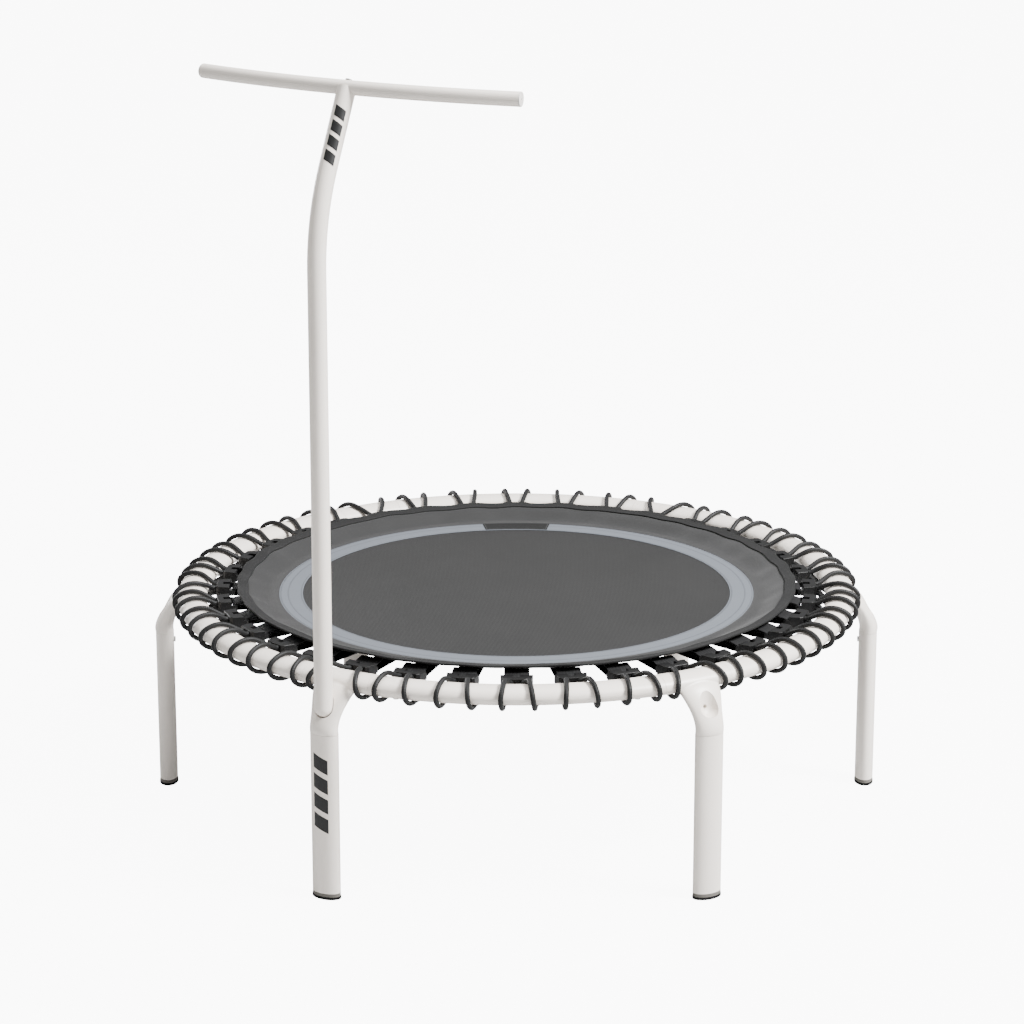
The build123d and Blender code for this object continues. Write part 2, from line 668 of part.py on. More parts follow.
def cord_turn_round(side, angle_at_ring):
    """One turn: out of its hole, over and round the ring, and under to the next hole."""
    a = math.radians(side * angle_at_ring)
    lean_angle = a + side * math.radians(cord_wrap_lean)
    out = (math.cos(lean_angle), math.sin(lean_angle))
    edge = ring_radius + half_wide + cord_radius
    spot = (edge * math.cos(a) - oval_long * out[0], edge * math.sin(a) - oval_long * out[1])
    plane = Plane(origin=(spot[0], spot[1], ring_height), x_dir=(out[0], out[1], 0),
                  z_dir=(out[1], -out[0], 0))
    mouth = clip_nose + cord_mouth
    hole_end = clip_nose - cord_hole_depth + 1
    pitch = 0.0 if side < 0 else clip_pitch
    top_mouth = clip_point(side, mouth, cord_top_height)
    low_mouth = clip_point(-side, mouth, cord_low_height, pitch)
    top_away = math.dist(spot, top_mouth[:2])
    low_away = math.dist(spot, low_mouth[:2])
    leave_top = leave_angle(spot, top_away, cord_top_height - ring_height)
    leave_low = -leave_angle(spot, low_away, ring_height - cord_low_height)
    with BuildPart() as turn:
        with BuildLine(plane) as line:
            over = CenterArc((0, -flat_centre), flat_arc, leave_top, join_angle - leave_top)
            CenterArc((tight_centre, 0), cord_turn, join_angle, -2 * join_angle)
            under = CenterArc((0, flat_centre), flat_arc, -join_angle, leave_low + join_angle)
        top_touch, low_touch = over @ 0, under @ 1
        with BuildSketch(Plane(origin=top_touch, z_dir=over % 0)):
            Circle(cord_radius)
        sweep(path=line.wires()[0])
        add(straight_run(top_mouth, tuple(top_touch)))
        add(straight_run(low_mouth, tuple(low_touch)))
        add(straight_run(clip_point(side, hole_end, cord_top_height), top_mouth))
        add(straight_run(clip_point(-side, hole_end, cord_low_height, pitch), low_mouth))
    return turn.part


free_turns = (cord_turn_round(-1, cord_angle), cord_turn_round(1, cord_angle))
leg_turns = (cord_turn_round(-1, cord_angle_at_leg), cord_turn_round(1, cord_angle_at_leg))
clips_per_leg = clip_count // leg_count
for sector, indices in enumerate(clip_sectors, start=1):
    with BuildPart() as bungee_cord:
        for index in indices:
            turns = leg_turns if index % clips_per_leg == 0 else free_turns
            for turn in turns:
                add(turn.rotate(Axis.Z, clip_pitch * index))
    finish(bungee_cord.part, f"bungee_cord_{sector}")

if __name__ == "__main__":
    print("overall height", round(bar_height + bar_diameter / 2, 1))
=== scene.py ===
"""Looks of a mini trampoline: powder-coated frame, woven mat, stitched skirt, straps, clips and bungee cord."""

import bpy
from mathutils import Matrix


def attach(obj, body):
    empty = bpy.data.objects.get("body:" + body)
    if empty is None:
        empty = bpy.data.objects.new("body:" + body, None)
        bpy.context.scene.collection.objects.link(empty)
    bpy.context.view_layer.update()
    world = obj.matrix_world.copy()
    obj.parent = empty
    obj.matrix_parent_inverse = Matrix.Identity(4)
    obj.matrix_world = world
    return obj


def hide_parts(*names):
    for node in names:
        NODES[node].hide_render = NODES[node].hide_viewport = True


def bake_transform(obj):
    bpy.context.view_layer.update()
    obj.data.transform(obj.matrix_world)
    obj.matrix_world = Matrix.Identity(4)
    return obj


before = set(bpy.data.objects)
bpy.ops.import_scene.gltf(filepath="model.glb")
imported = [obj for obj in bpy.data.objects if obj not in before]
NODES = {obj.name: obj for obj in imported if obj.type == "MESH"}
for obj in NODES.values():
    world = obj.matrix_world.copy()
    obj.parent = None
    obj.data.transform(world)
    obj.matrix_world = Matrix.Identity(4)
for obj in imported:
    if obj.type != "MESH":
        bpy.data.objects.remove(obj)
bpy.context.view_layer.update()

import math

import bpy
import numpy as np
from mathutils import Vector

bl_info = {
    "name": "Mini trampoline looks",
    "version": (1, 0, 0),
    "blender": (4, 5, 0),
    "location": "View3D > Sidebar > Trampoline",
    "description": "Fabric, cord, webbing and finishes of a bungee trampoline with a T-bar handle",
    "category": "Add Mesh",
}

TURN = 2 * math.pi

RING_HALF = (0.0245, 0.015)          # half the oval ring tube seen along a slanted turn of cord, wide and high
CORD_STAND_OFF = 0.0012              # bare space between the cord and the tube
CORD_TIGHT = 0.0148                  # radius of the cord's centre line at the tube's outside
CORD_MOUTH = 0.0042                  # from the clip's outer face to where the cord turns
CORD_HIDDEN = 0.0094                 # how far a cord's end lies inside the mouth of its hole
HOLE_HEIGHTS = (0.3442, 0.3352)      # the upper and the lower cord hole
HOLE_ASIDE = 0.0095                  # from the clip's middle to a cord hole
TURN_AZIMUTH = (2.5, 4.4)            # where a turn stands on the ring, degrees from its clip: free, at a leg
MAT_THICK = 0.0016
BAND_INSET, BAND_WIDTH, BAND_THICK = 0.0045, 0.0395, 0.0010
LABEL_HALF, LABEL_WIDTH = 0.0565, 0.0355
STRAP_WIDTH, STRAP_THICK = 0.039, 0.0014
HANDLE_AZIMUTH = math.radians(240)   # the front left leg
LEG_RADIUS, LEG_HALF = 0.586, (0.0150, 0.0240)
POLE_RADIUS, POLE_HALF = 0.5865, 0.01425
POLE_BEND, POLE_BEND_START, POLE_LEAN = 0.340, 0.982, math.radians(26.0)


# ------------------------------------------------------------------ sizes and colours to change
class TRAMPOLINE_PG_sizes(bpy.types.PropertyGroup):
    """Sizes of the soft goods, the cord and the marks, in metres."""
    ring_radius: bpy.props.FloatProperty(
        name="Ring radius", description="Axis to the centre of the oval ring tube", default=0.536,
        unit="LENGTH")
    ring_height: bpy.props.FloatProperty(
        name="Ring height", description="Floor to the centre of the ring tube", default=0.338, unit="LENGTH")
    clip_nose: bpy.props.FloatProperty(
        name="Clip nose", description="Axis to the outer face of a clip", default=0.497, unit="LENGTH")
    clips: bpy.props.IntProperty(name="Clips", description="Clips round the mat", default=36)
    cord_radius: bpy.props.FloatProperty(
        name="Cord radius", description="Half the bungee cord's thickness", default=0.0040, unit="LENGTH")
    mat_radius: bpy.props.FloatProperty(
        name="Mat radius", description="Axis to the mat's cut edge", default=0.398, unit="LENGTH")
    mat_top: bpy.props.FloatProperty(
        name="Mat top", description="Floor to the mat's upper face", default=0.338, unit="LENGTH")
    weave_pitch: bpy.props.FloatProperty(
        name="Weave pitch", description="Distance between the ribs of the weave", default=0.0046, unit="LENGTH")
    hem_width: bpy.props.FloatProperty(
        name="Hem width", description="Folded edge of the skirt", default=0.018, unit="LENGTH")


class TRAMPOLINE_PG_colours(bpy.types.PropertyGroup):
    """Colours of the finishes, linear."""
    paint: bpy.props.FloatVectorProperty(
        name="Paint", description="Powder coat of the frame", default=(0.80, 0.74, 0.675), subtype="COLOR")
    mat: bpy.props.FloatVectorProperty(
        name="Mat", description="Woven mat", default=(0.0155, 0.0155, 0.0155), subtype="COLOR")
    skirt: bpy.props.FloatVectorProperty(
        name="Skirt", description="Skirt between the mat and the clips", default=(0.0105, 0.0105, 0.0107),
        subtype="COLOR")
    band: bpy.props.FloatVectorProperty(
        name="Band", description="Coated band round the mat", default=(0.110, 0.120, 0.136), subtype="COLOR")
    cord: bpy.props.FloatVectorProperty(
        name="Cord", description="Sheath of the bungee cord", default=(0.0065, 0.0066, 0.0068), subtype="COLOR")
    plastic: bpy.props.FloatVectorProperty(
        name="Clip plastic", description="Moulded clips", default=(0.0038, 0.0038, 0.004), subtype="COLOR")
    mark: bpy.props.FloatVectorProperty(
        name="Marks", description="Plain slanted bars on the leg and the pole", default=(0.010, 0.0102, 0.0105),
        subtype="COLOR")


def sizes():
    """The sizes a user can change."""
    return bpy.context.scene.trampoline_sizes


def colours():
    """The colours a user can change."""
    return bpy.context.scene.trampoline_colours


# ------------------------------------------------------------------ meshes from arrays
def put_mesh(name, verts, faces, uvs=None, material=None, smooth=True):
    """Object at the origin from a vertex array and a list of faces; uvs is one pair per face corner."""
    mesh = bpy.data.meshes.new(name)
    mesh.from_pydata(np.asarray(verts, float).tolist(), [], faces)
    if uvs is not None:
        layer = mesh.uv_layers.new(name="UVMap")
        layer.data.foreach_set("uv", np.asarray(uvs, np.float32).ravel())
    mesh.polygons.foreach_set("use_smooth", np.full(len(mesh.polygons), smooth))
    mesh.update()
    obj = bpy.data.objects.new(name, mesh)
    bpy.context.scene.collection.objects.link(obj)
    if material is not None:
        mesh.materials.append(material)
    return obj


def grid_faces(rows, columns, close_rows=False, close_columns=False):
    """Quads of a grid of rows by columns, row-major, and the (row, column) of each of their corners."""
    r = np.arange(rows if close_rows else rows - 1)
    c = np.arange(columns if close_columns else columns - 1)
    r, c = np.meshgrid(r, c, indexing="ij")
    corner_r = np.stack([r, r, r + 1, r + 1], -1).reshape(-1, 4)
    corner_c = np.stack([c, c + 1, c + 1, c], -1).reshape(-1, 4)
    return (corner_r % rows) * columns + corner_c % columns, corner_r, corner_c


def turned(profile, azimuths, lift=None):
    """Surface of revolution: each profile point (radius, height) swept round the azimuths, plus an
    optional lift array (azimuth, profile point, 2) added to radius and height."""
    rz = np.broadcast_to(profile[None], (len(azimuths), *profile.shape)).copy()
    if lift is not None:
        rz = rz + lift
    a = azimuths[:, None]
    return np.stack([rz[..., 0] * np.cos(a), rz[..., 0] * np.sin(a), rz[..., 1]], -1)


def ring_surface(name, profile, count, material, lift=None):
    """Closed ring: a closed profile turned all the way round. UVs are metres round and across."""
    azimuths = np.arange(count) * TURN / count
    points = turned(profile, azimuths, None if lift is None else lift(azimuths))
    faces, corner_r, corner_c = grid_faces(count, len(profile), True, True)
    steps = np.linalg.norm(np.diff(profile, axis=0, append=profile[:1]), axis=1)
    across = np.concatenate([[0], np.cumsum(steps)])
    mean = profile[:, 0].mean()
    uv = np.stack([corner_r * TURN / count * mean, across[corner_c]], -1)
    return put_mesh(name, points.reshape(-1, 3), faces.tolist(), uv.reshape(-1, 2), material)


def rounded_box(width, height, corner, steps=3):
    """Closed outline of a rectangle with round corners: four quarter circles joined by straight sides."""
    angles = np.linspace(0, math.pi / 2, steps)
    quarter = np.stack([np.cos(angles), np.sin(angles)], -1) * corner
    centre = np.array([width / 2 - corner, height / 2 - corner])
    turns = [np.array([[math.cos(q), -math.sin(q)], [math.sin(q), math.cos(q)]]) for q in
             (0, math.pi / 2, math.pi, -math.pi / 2)]
    signs = np.array([[1, 1], [-1, 1], [-1, -1], [1, -1]])
    return np.concatenate([quarter @ t.T + centre * s for t, s in zip(turns, signs)])


def swept(path, outline, side):
    """Closed outline carried along a path: outline x runs along `side`, made square to the path, and
    outline y along the cross of the path's direction and that side. Returns points (path, outline, 3)."""
    along = np.gradient(path, axis=0)
    along /= np.linalg.norm(along, axis=1, keepdims=True)
    across = side - (side * along).sum(1, keepdims=True) * along
    across /= np.linalg.norm(across, axis=1, keepdims=True)
    up = np.cross(along, across)
    return path[:, None] + outline[None, :, :1] * across[:, None] + outline[None, :, 1:] * up[:, None]


def swept_mesh_data(path, outline, side, first=0):
    """Vertices, faces and UVs of one swept bar with flat ends; UVs are metres along and a share round."""
    points = swept(path, outline, side)
    n, m = points.shape[:2]
    faces, corner_r, corner_c = grid_faces(n, m, False, True)
    length = np.concatenate([[0], np.cumsum(np.linalg.norm(np.diff(path, axis=0), axis=1))])
    uv = np.stack([length[corner_r], corner_c / m], -1).reshape(-1, 2)
    ends = [list(range(m))[::-1], list(range((n - 1) * m, n * m))]
    end_uv = np.zeros((2 * m, 2))
    end_uv[m:, 0] = length[-1]
    faces = [[i + first for i in face] for face in faces[:, ::-1].tolist() + [e[::-1] for e in ends]]
    return points.reshape(-1, 3), faces, np.concatenate([uv.reshape(-1, 4, 2)[:, ::-1].reshape(-1, 2), end_uv])


def many_swept(name, bars, material):
    """One mesh that holds several swept bars, each given as (path, outline, side)."""
    verts, faces, uvs, first = [], [], [], 0
    for path, outline, side in bars:
        v, f, u = swept_mesh_data(path, outline, side, first)
        verts.append(v)
        faces += f
        uvs.append(u)
        first += len(v)
    return put_mesh(name, np.concatenate(verts), faces, np.concatenate(uvs), material)


def spin(points, azimuth):
    """Points turned about the upright axis by an azimuth in radians."""
    c, s = math.cos(azimuth), math.sin(azimuth)
    return points @ np.array([[c, s, 0], [-s, c, 0], [0, 0, 1]])


def soften(values, sigma):
    """Values smoothed along their first axis with a bell-shaped window, the ends held."""
    reach = int(3 * sigma)
    window = np.exp(-0.5 * (np.arange(-reach, reach + 1) / sigma) ** 2)
    window /= window.sum()
    padded = np.concatenate([np.repeat(values[:1], reach), values, np.repeat(values[-1:], reach)])
    return np.convolve(padded, window, "valid")


# ------------------------------------------------------------------ shader helper
class Sock:
    """A shader socket that arithmetic works on."""

    def __init__(self, tree, socket):
        self.tree = tree
        self.socket = socket

    def math(self, operation, other=None, clamp=False):
        """One Math node on this socket."""
        node = self.tree.nodes.new("ShaderNodeMath")
        node.operation = operation
        node.use_clamp = clamp
        for slot, value in enumerate((self, other)):
            if isinstance(value, Sock):
                self.tree.links.new(value.socket, node.inputs[slot])
            elif value is not None:
                node.inputs[slot].default_value = value
        return Sock(self.tree, node.outputs[0])

    def __add__(self, other):
        return self.math("ADD", other)

    def __mul__(self, other):
        return self.math("MULTIPLY", other)

    def __sub__(self, other):
        return self.math("SUBTRACT", other)

    def __rsub__(self, other):
        return (self * -1.0) + other

    def __truediv__(self, other):
        return self.math("DIVIDE", other)

    __radd__ = __add__
    __rmul__ = __mul__

    def band(self, low, high, soft):
        """1 where the value lies from low to high, with soft edges."""
        rise = ((self - low) / soft).math("ADD", 0.5, clamp=True)
        fall = ((high - self) / soft).math("ADD", 0.5, clamp=True)
        return rise * fall


class Finish:
    """A material: its Principled shader, and nodes made by name."""

    def __init__(self, name, **constants):
        self.material = bpy.data.materials.new(name)
        self.material.use_nodes = True
        self.tree = self.material.node_tree
        self.shader = self.tree.nodes["Principled BSDF"]
        for key, value in constants.items():
            self.shader.inputs[key.replace("_", " ")].default_value = value

    def node(self, kind, settings=None, out=0, **values):
        """A node of that type: settings first, then its sockets by name with _ for a space."""
        node = self.tree.nodes.new(kind)
        for key, value in (settings or {}).items():
            setattr(node, key, value)
        for key, value in values.items():
            socket = next(s for s in node.inputs if s.name == key.replace("_", " ") and s.enabled)
            if isinstance(value, Sock):
                self.tree.links.new(value.socket, socket)
            else:
                socket.default_value = value
        return Sock(self.tree, node.outputs[out])

    def place(self):
        """Object coordinates."""
        return self.node("ShaderNodeTexCoord", out=3)

    def uv(self):
        """The piece's own UVs as two numbers."""
        split = self.tree.nodes.new("ShaderNodeSeparateXYZ")
        self.tree.links.new(self.node("ShaderNodeUVMap", {"uv_map": "UVMap"}).socket, split.inputs[0])
        return Sock(self.tree, split.outputs[0]), Sock(self.tree, split.outputs[1])

    def xyz(self):
        """Object coordinates as three numbers."""
        split = self.tree.nodes.new("ShaderNodeSeparateXYZ")
        self.tree.links.new(self.place().socket, split.inputs[0])
        return [Sock(self.tree, s) for s in split.outputs]

    def noise(self, scale, detail=2.0, rough=0.5):
        """Noise from 0 to 1 on object coordinates."""
        return self.node("ShaderNodeTexNoise", Vector=self.place(), Scale=scale, Detail=detail, Roughness=rough)

    def tint(self, colour, other, amount):
        """Colour mixed with another by an amount from 0 to 1."""
        node = self.tree.nodes.new("ShaderNodeMix")
        node.data_type = "RGBA"
        ends = [s for s in node.inputs if s.type == "RGBA"]
        for socket, value in zip(ends, (colour, other)):
            if isinstance(value, Sock):
                self.tree.links.new(value.socket, socket)
            else:
                socket.default_value = (*value, 1.0)
        self.tree.links.new(amount.socket, node.inputs[0])
        return Sock(self.tree, [s for s in node.outputs if s.type == "RGBA"][0])

    def set(self, **sockets):
        """Links what varies to the shader's own sockets."""
        for key, value in sockets.items():
            self.tree.links.new(value.socket, self.shader.inputs[key.replace("_", " ")])
        return self

    def bump(self, height, distance, strength=1.0):
        """Relief from a height, through the shader's Normal."""
        made = self.node("ShaderNodeBump", Height=height, Distance=distance, Strength=strength)
        return self.set(Normal=made)


def shade(colour, factor):
    """A colour made lighter or darker."""
    return tuple(min(1.0, c * factor) for c in colour)


# ------------------------------------------------------------------ finishes
def paint_finish():
    """Powder coat: fine orange peel and a faint change of tone."""
    base = tuple(colours().paint)
    f = Finish("powder_coat", IOR=1.5, Coat_Weight=0.25, Coat_Roughness=0.3)
    peel, cloud = f.noise(900.0, 2.0), f.noise(9.0, 3.0)
    f.set(Base_Color=f.tint(shade(base, 0.97), shade(base, 1.03), cloud), Roughness=cloud * 0.08 + 0.36)
    f.bump(peel, 0.00008)
    return f.material


def plain_finish(name, colour, rough, metal=0.0, grain=600.0, relief=0.00005, spread=0.12, gloss=0.5):
    """Moulded plastic, rubber or zinc: fine grain in the relief, the tone and the gloss."""
    f = Finish(name, IOR=1.5, Metallic=metal, Specular_IOR_Level=gloss)
    grain_noise, cloud = f.noise(grain, 2.0), f.noise(45.0, 3.0)
    f.set(Base_Color=f.tint(shade(colour, 1 - spread), shade(colour, 1 + spread), cloud),
          Roughness=cloud * 0.14 + (rough - 0.07))
    f.bump(grain_noise, relief)
    return f.material


def ribs(along, pitch):
    """A wave from 0 to 1 that repeats every pitch."""
    return (along * (TURN / pitch)).math("SINE") * 0.5 + 0.5


def mat_finish():
    """Woven mat: slanted ribs crossed by a finer thread, in tone and relief."""
    base = tuple(colours().mat)
    f = Finish("mat_weave", IOR=1.5, Specular_IOR_Level=0.22)
    x, y, _ = f.xyz()
    pitch = sizes().weave_pitch
    slant = x * 0.643 + y * 0.766
    cross = y * 0.643 - x * 0.766
    rib = ribs(slant, pitch)
    thread = ribs(cross, pitch * 0.5)
    pattern = rib * 0.65 + thread * 0.35
    cloud = f.noise(7.0, 3.0)
    tone = pattern * 0.75 + cloud * 0.25
    f.set(Base_Color=f.tint(shade(base, 0.42), shade(base, 1.68), tone), Roughness=0.62 - pattern * 0.14)
    f.bump(pattern, 0.00045)
    return f.material


def cloth_finish(name, colour, pitch, light=1.3, dark=0.72, sheen=0.25, stitches=(), gloss=0.12):
    """Woven cloth by its UVs (metres along, metres across) with rows of stitches at given places across.
    A stitch row is a dash pattern along the piece, raised and in its own tone, in a sunk groove whose colour is
    darkened as painted shade."""
    f = Finish(name, IOR=1.5, Specular_IOR_Level=gloss, Sheen_Weight=sheen, Sheen_Roughness=0.6)
    u, v = f.uv()
    weave = ribs(u + v, pitch) * ribs(u - v, pitch)
    cloud = f.noise(14.0, 4.0)
    tone = weave * 0.5 + cloud * 0.5
    colour_out = f.tint(shade(colour, dark), shade(colour, light), tone)
    height = weave * 0.3
    for place, factor in stitches:
        dash = ribs(u, 0.0042).math("GREATER_THAN", 0.32)
        row = v.band(place - 0.0005, place + 0.0005, 0.0004) * dash
        groove_and_painted_shade = v.band(place - 0.0014, place + 0.0014, 0.0012)
        # painted shade: the cloth's colour is darkened across the groove beside the stitch row as if shade fell
        # in it; the same mask also sinks the groove in the relief
        colour_out = f.tint(colour_out, shade(colour, 0.55), groove_and_painted_shade * 0.6)
        colour_out = f.tint(colour_out, shade(colour, factor), row)
        height = height - groove_and_painted_shade * 1.2 + row * 1.6
    f.set(Base_Color=colour_out, Roughness=0.78 - weave * 0.12)
    f.bump(height, 0.00022)
    return f.material


def webbing_finish():
    """Strap webbing: ribs across, chevrons along, by the strap's UVs (metres along, share round)."""
    base = tuple(colours().plastic)
    f = Finish("strap_webbing", IOR=1.5, Specular_IOR_Level=0.15)
    u, v = f.uv()
    weave = ribs(u, 0.0016) * ribs(v, 0.02)
    cloud = f.noise(60.0, 3.0)
    f.set(Base_Color=f.tint(shade(base, 1.6), shade(base, 5.0), weave * 0.5 + cloud * 0.5),
          Roughness=0.75 - weave * 0.15)
    f.bump(weave, 0.0002)
    return f.material


def cord_finish():
    """Braided sheath: two families of strands that wind the cord both ways, by its UVs (metres along,
    share round), each strand a diamond in relief and tone."""
    base = tuple(colours().cord)
    f = Finish("cord_braid", IOR=1.5, Specular_IOR_Level=0.2)
    u, v = f.uv()
    one = (u * (TURN / 0.0065) + v * (TURN * 4)).math("SINE")
    two = (u * (TURN / 0.0065) - v * (TURN * 4)).math("SINE")
    diamond = (one * two) * 0.5 + 0.5
    cloud = f.noise(80.0, 2.0)
    f.set(Base_Color=f.tint(shade(base, 0.7), shade(base, 1.9), diamond * 0.7 + cloud * 0.3),
          Roughness=0.6 - diamond * 0.12)
    f.bump(diamond, 0.00035)
    return f.material


def floor_finish():
    """Pale floor that shows nearly white, with only a faint shadow: part of what is seen glows."""
    f = Finish("studio_floor", Roughness=0.9)
    f.set(Base_Color=f.tint((0.50, 0.50, 0.50), (0.52, 0.52, 0.52), f.noise(3.0, 2.0)))
    seen = f.node("ShaderNodeLightPath") * 0.6
    glow = f.node("ShaderNodeEmission", Color=(1, 1, 1, 1), Strength=16.0)
    mixed = f.tree.nodes.new("ShaderNodeMixShader")
    f.tree.links.new(seen.socket, mixed.inputs[0])
    f.tree.links.new(f.shader.outputs[0], mixed.inputs[1])
    f.tree.links.new(glow.socket, mixed.inputs[2])
    f.tree.links.new(mixed.outputs[0], f.tree.nodes["Material Output"].inputs[0])
    return f.material


def dress(nodes, material):
    """Puts a finish on CAD nodes."""
    for name in nodes:
        NODES[name].data.materials.clear()
        NODES[name].data.materials.append(material)


def numbered(stem):
    """The six CAD nodes of that stem."""
    return [f"{stem}_{i}" for i in range(1, 7)]


# ------------------------------------------------------------------ operators
class TRAMPOLINE_OT_frame(bpy.types.Operator):
    """Powder coat on the ring, connectors, legs and handle."""
    bl_idname = "trampoline.frame"
    bl_label = "Frame paint"

    def execute(self, context):
        """Coats the painted CAD nodes."""
        names = numbered("ring_tube") + numbered("leg_connector") + numbered("leg_tube")
        dress(names + ["handle_pole", "handle_bar"], paint_finish())
        return {"FINISHED"}


class TRAMPOLINE_OT_fittings(bpy.types.Operator):
    """Feet, screws, bolts, plugs and end caps."""
    bl_idname = "trampoline.fittings"
    bl_label = "Feet and fittings"

    def execute(self, context):
        """Finishes the small hard pieces."""
        dress(numbered("foot_cap"), plain_finish("foot_cap_plastic", (0.125, 0.117, 0.105), 0.5, gloss=0.25))
        dress(numbered("foot_pad"), plain_finish("foot_rubber", (0.0045, 0.0045, 0.0045), 0.75,
                                                 relief=0.00012, gloss=0.1))
        zinc = plain_finish("zinc_steel", (0.56, 0.56, 0.55), 0.34, metal=1.0, grain=350.0)
        dress(["leg_screws", "ring_screws", "handle_bolt", "bar_bolt"], zinc)
        nylon = plain_finish("insert_plastic", (0.02, 0.02, 0.02), 0.5)
        dress(["pole_foot_plug", "pole_top_insert"], nylon)
        dress(["bar_end_caps"], plain_finish("end_cap_plastic", (0.64, 0.61, 0.58), 0.42))
        return {"FINISHED"}


class TRAMPOLINE_OT_mat(bpy.types.Operator):
    """Woven mat."""
    bl_idname = "trampoline.mat"
    bl_label = "Mat"

    def execute(self, context):
        """A disc: a rounded closed profile from the axis out to the edge and back, turned round."""
        s = sizes()
        thick, radius, top = MAT_THICK, s.mat_radius, s.mat_top
        inner = np.linspace(0.0, radius - thick, 28)
        bend = np.linspace(math.pi / 2, -math.pi / 2, 7)
        edge = np.stack([radius - thick / 2 + thick / 2 * np.cos(bend),
                         top - thick / 2 + thick / 2 * np.sin(bend)], -1)
        over = np.stack([inner, np.full(28, top)], -1)
        under = np.stack([inner[::-1], np.full(28, top - thick)], -1)
        profile = np.concatenate([over, edge, under])
        count = 240
        points = turned(profile, np.arange(count) * TURN / count)
        faces = grid_faces(count, len(profile), True, False)[0]
        index = np.arange(count * len(profile)).reshape(count, -1)
        index[:, 0], index[:, -1] = 0, len(profile) - 1
        quads = index.ravel()[faces][:, ::-1]
        tidy = [list(dict.fromkeys(q)) for q in quads.tolist()]
        mat = put_mesh("mat_weave", points.reshape(-1, 3), tidy, None, mat_finish())
        drop_loose(mat)
        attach(mat, "mat")
        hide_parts("mat_fabric")
        return {"FINISHED"}


def drop_loose(obj):
    """Removes vertices that no face uses."""
    used = np.zeros(len(obj.data.loops), np.int32)
    obj.data.loops.foreach_get("vertex_index", used)
    keep = np.zeros(len(obj.data.vertices), bool)
    keep[used] = True
    co = np.zeros(len(keep) * 3)
    obj.data.vertices.foreach_get("co", co)
    renumber = np.cumsum(keep) - 1
    faces = [[int(renumber[v]) for v in p.vertices] for p in obj.data.polygons]
    mesh = bpy.data.meshes.new(obj.data.name)
    mesh.from_pydata(co.reshape(-1, 3)[keep].tolist(), [], faces)
    mesh.polygons.foreach_set("use_smooth", np.ones(len(mesh.polygons), bool))
    for m in obj.data.materials:
        mesh.materials.append(m)
    obj.data = mesh


class TRAMPOLINE_OT_band(bpy.types.Operator):
    """Coated band stitched on round the mat, and the sewn label."""
    bl_idname = "trampoline.band"
    bl_label = "Band and label"

    def execute(self, context):
        """A thin flat ring with softly rounded edges; the label is a short arc of the same kind."""
        s = sizes()
        outer = s.mat_radius - BAND_INSET
        width, thick = BAND_WIDTH, BAND_THICK
        outline = rounded_box(width, thick, 0.00045) + [outer - width / 2, s.mat_top + thick / 2]
        band = ring_surface("mat_band_cloth", densify(outline, 0.004), 360, band_finish(outer, width))
        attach(band, "mat")
        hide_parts("mat_band")
        label_piece(outer, width, s.mat_top + thick)
        return {"FINISHED"}


def densify(outline, step):
    """Closed outline with extra points, so that no side is longer than the step."""
    closed = np.concatenate([outline, outline[:1]])
    out = []
    for a, b in zip(closed[:-1], closed[1:]):
        count = max(1, int(math.ceil(np.linalg.norm(b - a) / step)))
        out.append(a + (b - a) * (np.arange(count) / count)[:, None])
    return np.concatenate(out)


def band_finish(outer, width):
    """Coated cloth whose stitch rows lie at fixed distances from the band's outer edge. Each row lies in a sunk
    groove whose colour is darkened as painted shade.
    """
    f = Finish("band_cloth_stitched", IOR=1.5, Specular_IOR_Level=0.15)
    base = tuple(colours().band)
    x, y, _ = f.xyz()
    radius = (x * x + y * y).math("SQRT")
    around = y.math("ARCTAN2", x)
    weave = ribs(x + y, 0.0024) * ribs(x - y, 0.0024)
    cloud = f.noise(24.0, 4.0)
    colour_out = f.tint(shade(base, 0.93), shade(base, 1.07), weave * 0.4 + cloud * 0.6)
    height = weave * 0.25
    for inset in (0.0028, 0.0150, width - 0.0028):
        place = outer - inset
        dash = (around * 560.0).math("SINE").math("GREATER_THAN", -0.4)
        row = radius.band(place - 0.0005, place + 0.0005, 0.0004) * dash
        groove_and_painted_shade = radius.band(place - 0.0013, place + 0.0013, 0.0010)
        # painted shade: the band's colour is darkened across the groove beside each stitch row as if shade fell
        # in it; the same mask also sinks the groove in the relief
        colour_out = f.tint(colour_out, shade(base, 0.62), groove_and_painted_shade * 0.45)
        colour_out = f.tint(colour_out, shade(base, 0.74), row)
        height = height - groove_and_painted_shade * 1.0 + row * 1.4
    f.set(Base_Color=colour_out, Roughness=0.66 - weave * 0.08)
    f.bump(height, 0.00022)
    return f.material


